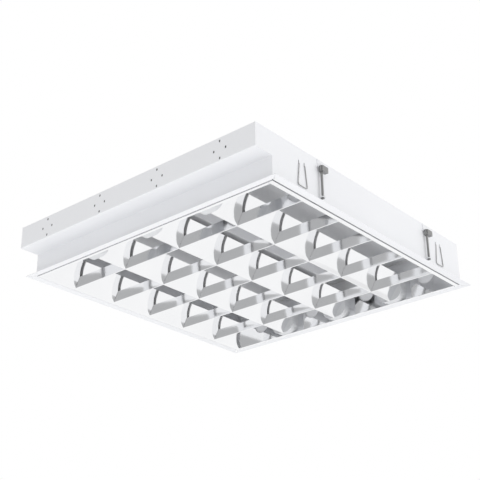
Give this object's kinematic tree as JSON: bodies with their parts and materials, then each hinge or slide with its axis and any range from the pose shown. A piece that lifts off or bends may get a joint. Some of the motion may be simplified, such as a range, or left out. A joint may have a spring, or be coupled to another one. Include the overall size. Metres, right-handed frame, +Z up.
{
  "type": "recessed louvre luminaire",
  "caption": "White recessed ceiling luminaire for a 600 mm grid, square, with a mirror louvre in deep cells, wire bails and screw clamps on its sides.",
  "frame": {"origin": "centre of the square flange's underside, the face that shows in the ceiling", "axes": "+Z up into the ceiling void, +X along the lamps from the end with the overhang to the straight end, Y across the lamps"},
  "size_m": [0.6245, 0.597, 0.089],
  "materials": {
    "white_enamel": "satin white enamel",
    "mirror_louvre": "bright anodised, semi-mirror",
    "cap_plastic": "satin light grey",
    "holder_plastic": "satin white",
    "rotor_plastic": "satin white",
    "ballast_case": "satin white",
    "terminal_plastic": "light grey",
    "grommet_rubber": "matt black",
    "stud_brass": "bright",
    "earth_insulation": "green and yellow PVC",
    "lead_insulation": "white PVC",
    "bail_wire": "zinc plated wire",
    "spring_steel": "zinc plated",
    "clamp_zinc": "zinc plated"
  },
  "bodies": {
    "housing": {"ballast": "ballast_case", "cable_grommet": "grommet_rubber", "clamp_ears": "white_enamel", "earth_stud": "stud_brass", "earth_wire": "earth_insulation", "end_plate_front": "white_enamel", "end_plate_rear": "white_enamel", "gear_cover": "white_enamel", "housing_tray": "white_enamel", "lamp_wiring": "lead_insulation", "lampholder_far_1": "holder_plastic", "lampholder_far_2": "holder_plastic", "lampholder_far_3": "holder_plastic", "lampholder_far_4": "holder_plastic", "lampholder_near_1": "holder_plastic", "lampholder_near_2": "holder_plastic", "lampholder_near_3": "holder_plastic", "lampholder_near_4": "holder_plastic", "louvre_catches": "spring_steel", "louvre_hangers": "spring_steel", "terminal_block": "terminal_plastic"},
    "louvre": {"cross_blade_1": "mirror_louvre", "cross_blade_2": "mirror_louvre", "cross_blade_3": "mirror_louvre", "cross_blade_4": "mirror_louvre", "cross_blade_5": "mirror_louvre", "louvre_end_far": "mirror_louvre", "louvre_end_near": "mirror_louvre", "louvre_ridge_1": "mirror_louvre", "louvre_ridge_2": "mirror_louvre", "louvre_ridge_3": "mirror_louvre", "ridge_caps": "cap_plastic", "side_reflector_front": "mirror_louvre", "side_reflector_rear": "mirror_louvre"},
    "bail_front_1": {"wire_bail_front_1": "bail_wire"},
    "bail_front_2": {"wire_bail_front_2": "bail_wire"},
    "bail_rear_1": {"wire_bail_rear_1": "bail_wire"},
    "bail_rear_2": {"wire_bail_rear_2": "bail_wire"},
    "screw_front_1": {"clamp_screw_front_1": "clamp_zinc"},
    "nut_front_1": {"clamp_nut_front_1": "clamp_zinc"},
    "arm_front_1": {"clamp_arm_front_1": "clamp_zinc"},
    "screw_front_2": {"clamp_screw_front_2": "clamp_zinc"},
    "nut_front_2": {"clamp_nut_front_2": "clamp_zinc"},
    "arm_front_2": {"clamp_arm_front_2": "clamp_zinc"},
    "screw_rear_1": {"clamp_screw_rear_1": "clamp_zinc"},
    "nut_rear_1": {"clamp_nut_rear_1": "clamp_zinc"},
    "arm_rear_1": {"clamp_arm_rear_1": "clamp_zinc"},
    "screw_rear_2": {"clamp_screw_rear_2": "clamp_zinc"},
    "nut_rear_2": {"clamp_nut_rear_2": "clamp_zinc"},
    "arm_rear_2": {"clamp_arm_rear_2": "clamp_zinc"},
    "rotor_near_1": {"lamp_rotor_near_1": "rotor_plastic"},
    "rotor_near_2": {"lamp_rotor_near_2": "rotor_plastic"},
    "rotor_near_3": {"lamp_rotor_near_3": "rotor_plastic"},
    "rotor_near_4": {"lamp_rotor_near_4": "rotor_plastic"},
    "rotor_far_1": {"lamp_rotor_far_1": "rotor_plastic"},
    "rotor_far_2": {"lamp_rotor_far_2": "rotor_plastic"},
    "rotor_far_3": {"lamp_rotor_far_3": "rotor_plastic"},
    "rotor_far_4": {"lamp_rotor_far_4": "rotor_plastic"}
  },
  "joints": [
    {"name": "louvre_hinge", "type": "hinge", "parent": "housing", "child": "louvre", "pos_m": [0, 0.2747, 0.004], "axis": [1, 0, 0], "range_deg": [0, 90]},
    {"name": "bail_front_1_swing", "type": "hinge", "parent": "housing", "child": "bail_front_1", "pos_m": [-0.2105, -0.2815, 0.0575], "axis": [-1, 0, 0], "range_deg": [0, 60]},
    {"name": "bail_front_2_swing", "type": "hinge", "parent": "housing", "child": "bail_front_2", "pos_m": [0.2105, -0.2815, 0.0575], "axis": [-1, 0, 0], "range_deg": [0, 60]},
    {"name": "bail_rear_1_swing", "type": "hinge", "parent": "housing", "child": "bail_rear_1", "pos_m": [-0.2105, 0.2815, 0.0575], "axis": [1, 0, 0], "range_deg": [0, 60]},
    {"name": "bail_rear_2_swing", "type": "hinge", "parent": "housing", "child": "bail_rear_2", "pos_m": [0.2105, 0.2815, 0.0575], "axis": [1, 0, 0], "range_deg": [0, 60]},
    {"name": "screw_front_1_turn", "type": "hinge", "parent": "housing", "child": "screw_front_1", "pos_m": [-0.1635, -0.289, 0.014], "axis": [0, 0, 1], "range_deg": [0, 22320]},
    {"name": "nut_front_1_travel", "type": "slide", "parent": "housing", "child": "nut_front_1", "axis": [0, 0, -1], "range_m": [0, 0.0434]},
    {"name": "arm_front_1_swing", "type": "hinge", "parent": "nut_front_1", "child": "arm_front_1", "pos_m": [-0.1635, -0.289, 0.067], "axis": [0, 0, -1], "range_deg": [0, 90]},
    {"name": "screw_front_2_turn", "type": "hinge", "parent": "housing", "child": "screw_front_2", "pos_m": [0.1635, -0.289, 0.014], "axis": [0, 0, 1], "range_deg": [0, 22320]},
    {"name": "nut_front_2_travel", "type": "slide", "parent": "housing", "child": "nut_front_2", "axis": [0, 0, -1], "range_m": [0, 0.0434]},
    {"name": "arm_front_2_swing", "type": "hinge", "parent": "nut_front_2", "child": "arm_front_2", "pos_m": [0.1635, -0.289, 0.067], "axis": [0, 0, -1], "range_deg": [0, 90]},
    {"name": "screw_rear_1_turn", "type": "hinge", "parent": "housing", "child": "screw_rear_1", "pos_m": [-0.1635, 0.289, 0.014], "axis": [0, 0, 1], "range_deg": [0, 22320]},
    {"name": "nut_rear_1_travel", "type": "slide", "parent": "housing", "child": "nut_rear_1", "axis": [0, 0, -1], "range_m": [0, 0.0434]},
    {"name": "arm_rear_1_swing", "type": "hinge", "parent": "nut_rear_1", "child": "arm_rear_1", "pos_m": [-0.1635, 0.289, 0.067], "axis": [0, 0, -1], "range_deg": [0, 90]},
    {"name": "screw_rear_2_turn", "type": "hinge", "parent": "housing", "child": "screw_rear_2", "pos_m": [0.1635, 0.289, 0.014], "axis": [0, 0, 1], "range_deg": [0, 22320]},
    {"name": "nut_rear_2_travel", "type": "slide", "parent": "housing", "child": "nut_rear_2", "axis": [0, 0, -1], "range_m": [0, 0.0434]},
    {"name": "arm_rear_2_swing", "type": "hinge", "parent": "nut_rear_2", "child": "arm_rear_2", "pos_m": [0.1635, 0.289, 0.067], "axis": [0, 0, -1], "range_deg": [0, 90]},
    {"name": "rotor_near_1_turn", "type": "hinge", "parent": "housing", "child": "rotor_near_1", "pos_m": [-0.3155, -0.21, 0.0645], "axis": [1, 0, 0], "range_deg": [0, 90]},
    {"name": "rotor_near_2_turn", "type": "hinge", "parent": "housing", "child": "rotor_near_2", "pos_m": [-0.3155, -0.07, 0.0645], "axis": [1, 0, 0], "range_deg": [0, 90]},
    {"name": "rotor_near_3_turn", "type": "hinge", "parent": "housing", "child": "rotor_near_3", "pos_m": [-0.3155, 0.07, 0.0645], "axis": [1, 0, 0], "range_deg": [0, 90]},
    {"name": "rotor_near_4_turn", "type": "hinge", "parent": "housing", "child": "rotor_near_4", "pos_m": [-0.3155, 0.21, 0.0645], "axis": [1, 0, 0], "range_deg": [0, 90]},
    {"name": "rotor_far_1_turn", "type": "hinge", "parent": "housing", "child": "rotor_far_1", "pos_m": [0.2755, -0.21, 0.0645], "axis": [1, 0, 0], "range_deg": [0, 90]},
    {"name": "rotor_far_2_turn", "type": "hinge", "parent": "housing", "child": "rotor_far_2", "pos_m": [0.2755, -0.07, 0.0645], "axis": [1, 0, 0], "range_deg": [0, 90]},
    {"name": "rotor_far_3_turn", "type": "hinge", "parent": "housing", "child": "rotor_far_3", "pos_m": [0.2755, 0.07, 0.0645], "axis": [1, 0, 0], "range_deg": [0, 90]},
    {"name": "rotor_far_4_turn", "type": "hinge", "parent": "housing", "child": "rotor_far_4", "pos_m": [0.2755, 0.21, 0.0645], "axis": [1, 0, 0], "range_deg": [0, 90]}
  ],
  "couplings": [
    {"joint": "screw_front_1_turn", "follows": "nut_front_1_travel", "rad_per_m": 8975.9},
    {"joint": "screw_front_2_turn", "follows": "nut_front_2_travel", "rad_per_m": 8975.9},
    {"joint": "screw_rear_1_turn", "follows": "nut_rear_1_travel", "rad_per_m": 8975.9},
    {"joint": "screw_rear_2_turn", "follows": "nut_rear_2_travel", "rad_per_m": 8975.9}
  ]
}
